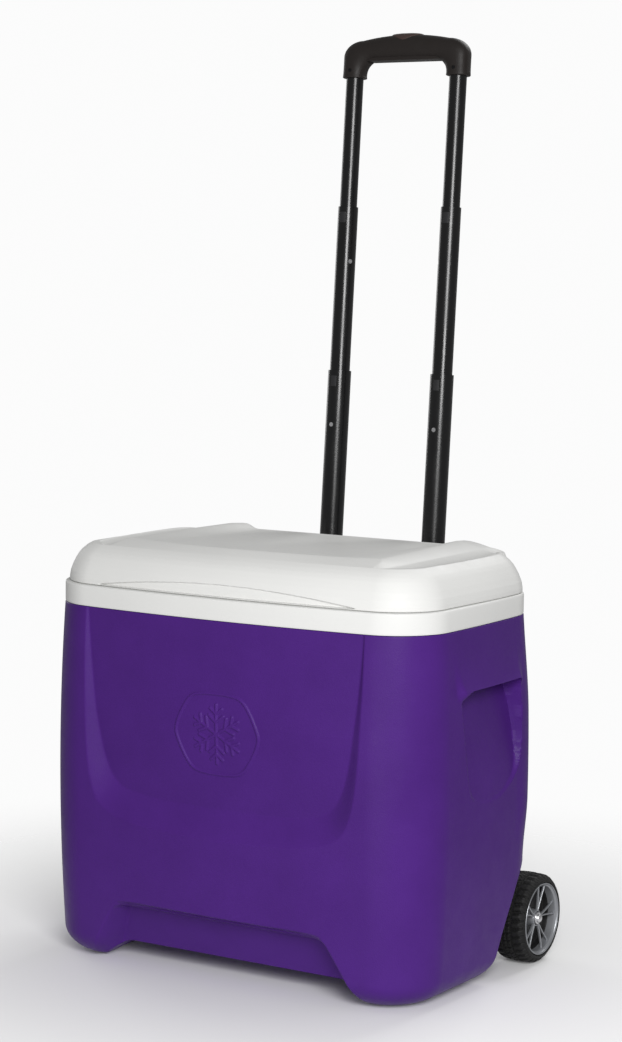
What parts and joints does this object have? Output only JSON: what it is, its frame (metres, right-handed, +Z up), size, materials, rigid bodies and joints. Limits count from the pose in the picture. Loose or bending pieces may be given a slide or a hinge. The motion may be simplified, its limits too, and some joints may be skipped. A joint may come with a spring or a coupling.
{
  "type": "cooler on wheels",
  "caption": "Insulated hard-sided cooler with a hinged lid, side scoop grips, a telescoping pull handle behind it and wheels at its rear corners.",
  "frame": {"origin": "on the ground, at the middle of the plan bounding box of the whole object with its handle extended", "axes": "+Z up, +X along the front towards the right-hand side as seen from the front, +Y from the front towards the wheels and handle"},
  "size_m": [0.4668, 0.3816, 0.9784],
  "materials": {
    "shell_purple": "satin, fine pebbled texture",
    "insulation": "matte rigid foam",
    "white_plastic": "satin",
    "black_plastic": "matte",
    "bushing_plastic": "satin",
    "black_tube": "satin",
    "plated_steel": "satin",
    "grip_plastic": "matte",
    "button_plastic": "satin",
    "rod_metal": "satin",
    "rim_grey": "satin",
    "tyre_black": "matte"
  },
  "bodies": {
    "cooler_body": {"outer_shell": "shell_purple", "foam_insulation": "insulation", "inner_liner": "white_plastic", "hinge_body_leaf_left": "white_plastic", "hinge_body_leaf_right": "white_plastic", "hinge_pin_left": "plated_steel", "hinge_pin_right": "plated_steel", "hinge_body_screws": "plated_steel", "handle_upper_bracket": "black_plastic", "handle_lower_bracket": "black_plastic", "upper_bracket_screws": "plated_steel", "lower_bracket_screws": "plated_steel", "guide_tube_left": "black_tube", "guide_tube_right": "black_tube", "guide_bushing_left": "bushing_plastic", "guide_bushing_right": "bushing_plastic", "axle": "plated_steel", "axle_washers": "plated_steel"},
    "lid": {"lid_outer": "white_plastic", "lid_foam": "insulation", "lid_inner_panel": "white_plastic", "hinge_lid_leaf_left": "white_plastic", "hinge_lid_leaf_right": "white_plastic", "hinge_lid_screws": "plated_steel"},
    "handle_lower_stage": {"lower_tube_left": "black_tube", "lower_tube_right": "black_tube", "lower_bushing_left": "bushing_plastic", "lower_bushing_right": "bushing_plastic", "lower_tube_plug_left": "bushing_plastic", "lower_tube_plug_right": "bushing_plastic", "lower_lock_pin_left": "plated_steel", "lower_lock_pin_right": "plated_steel"},
    "handle_middle_stage": {"middle_tube_left": "black_tube", "middle_tube_right": "black_tube", "middle_bushing_left": "bushing_plastic", "middle_bushing_right": "bushing_plastic", "middle_tube_plug_left": "bushing_plastic", "middle_tube_plug_right": "bushing_plastic", "middle_lock_pin_left": "plated_steel", "middle_lock_pin_right": "plated_steel"},
    "handle_top_stage": {"top_tube_left": "black_tube", "top_tube_right": "black_tube", "top_tube_plug_left": "bushing_plastic", "top_tube_plug_right": "bushing_plastic", "grip_body": "grip_plastic", "grip_under_cover": "grip_plastic", "grip_screws": "plated_steel", "button_spring": "plated_steel"},
    "release_mechanism": {"release_button": "button_plastic", "release_yoke": "rod_metal", "release_rod_left": "rod_metal", "release_rod_right": "rod_metal"},
    "wheel_left": {"wheel_rim_left": "rim_grey", "tyre_left": "tyre_black", "hub_cap_left": "plated_steel"},
    "wheel_right": {"wheel_rim_right": "rim_grey", "tyre_right": "tyre_black", "hub_cap_right": "plated_steel"}
  },
  "joints": [
    {"name": "lid_hinge", "type": "hinge", "parent": "cooler_body", "child": "lid", "pos_m": [0, 0.09468, 0.416], "axis": [-1, 0, 0], "range_deg": [0, 90]},
    {"name": "handle_lower_slide", "type": "slide", "parent": "cooler_body", "child": "handle_lower_stage", "axis": [0, -0.0748, -0.9972], "range_m": [0, 0.215]},
    {"name": "handle_middle_slide", "type": "slide", "parent": "handle_lower_stage", "child": "handle_middle_stage", "axis": [0, -0.0748, -0.9972], "range_m": [0, 0.1795]},
    {"name": "handle_top_slide", "type": "slide", "parent": "handle_middle_stage", "child": "handle_top_stage", "axis": [0, -0.0748, -0.9972], "range_m": [0, 0.14]},
    {"name": "release_button_press", "type": "slide", "parent": "handle_top_stage", "child": "release_mechanism", "axis": [0, -0.0748, -0.9972], "range_m": [0, 0.004], "stiffness_N_per_m": 400, "springref_m": -0.006, "deforming": ["button_spring"]},
    {"name": "wheel_left_spin", "type": "hinge", "parent": "cooler_body", "child": "wheel_left", "pos_m": [-0.213, 0.08628, 0.047], "axis": [1, 0, 0], "continuous": true},
    {"name": "wheel_right_spin", "type": "hinge", "parent": "cooler_body", "child": "wheel_right", "pos_m": [0.213, 0.08628, 0.047], "axis": [1, 0, 0], "continuous": true}
  ]
}
